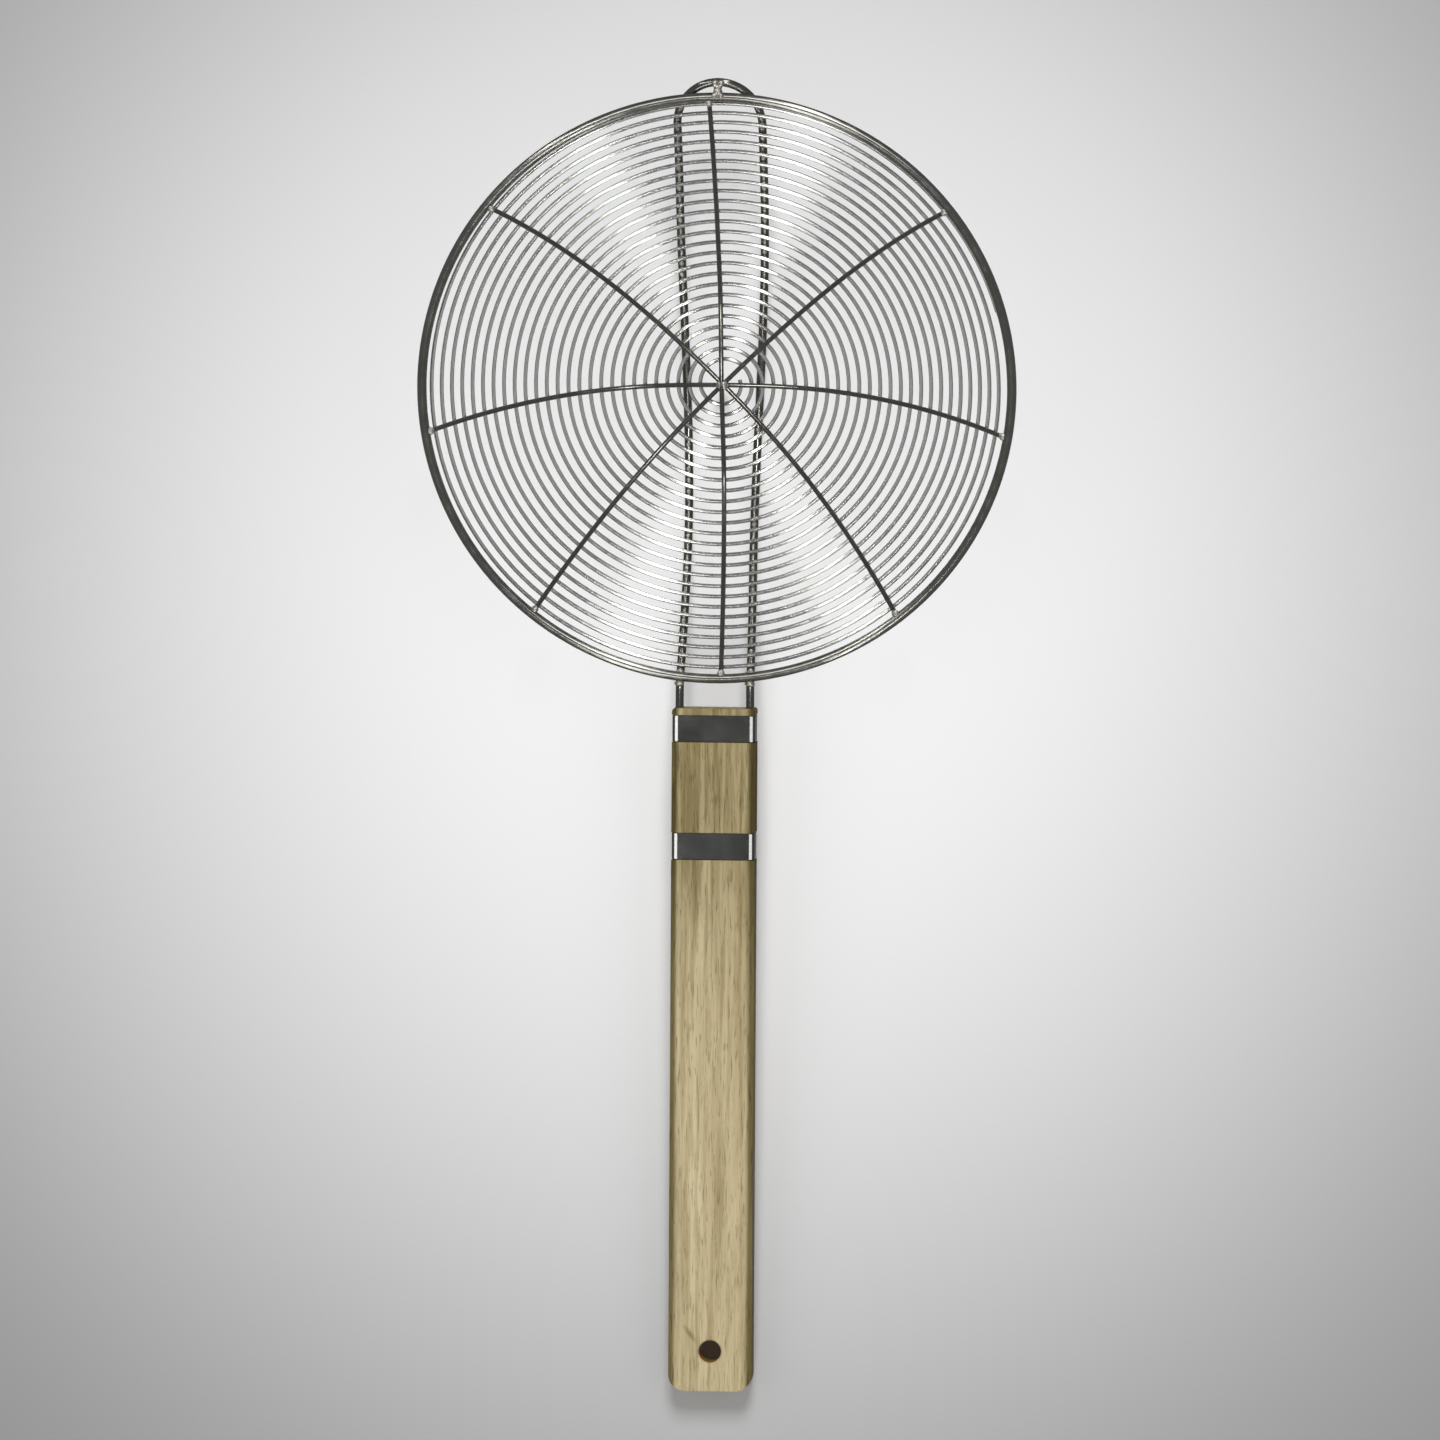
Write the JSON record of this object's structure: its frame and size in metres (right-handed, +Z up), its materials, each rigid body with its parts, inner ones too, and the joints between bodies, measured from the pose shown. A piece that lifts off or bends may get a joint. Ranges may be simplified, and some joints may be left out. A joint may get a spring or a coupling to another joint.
{
  "type": "frying strainer",
  "caption": "Round shallow skimmer of spiral steel wire on a hairpin wire frame, with a flat wooden handle, steel bands and a hanging hole.",
  "frame": {"origin": "on the ground, under the middle of the strainer's box as it lies hollow side up", "axes": "+Y along the handle to the tip of the bowl, +X to the right, +Z up"},
  "size_m": [0.24, 0.525, 0.0502],
  "materials": {
    "handle_wood": "smooth, lightly oiled",
    "band_steel": "satin",
    "wire_steel": "polished"
  },
  "bodies": {
    "root": {"handle": "handle_wood", "upper_band": "band_steel", "lower_band": "band_steel", "frame_wire": "wire_steel", "rim_wire": "wire_steel", "spiral_wire": "wire_steel", "left_diagonal_spoke": "wire_steel", "right_diagonal_spoke": "wire_steel", "cross_spoke": "wire_steel", "upright_spoke": "wire_steel"}
  },
  "joints": []
}
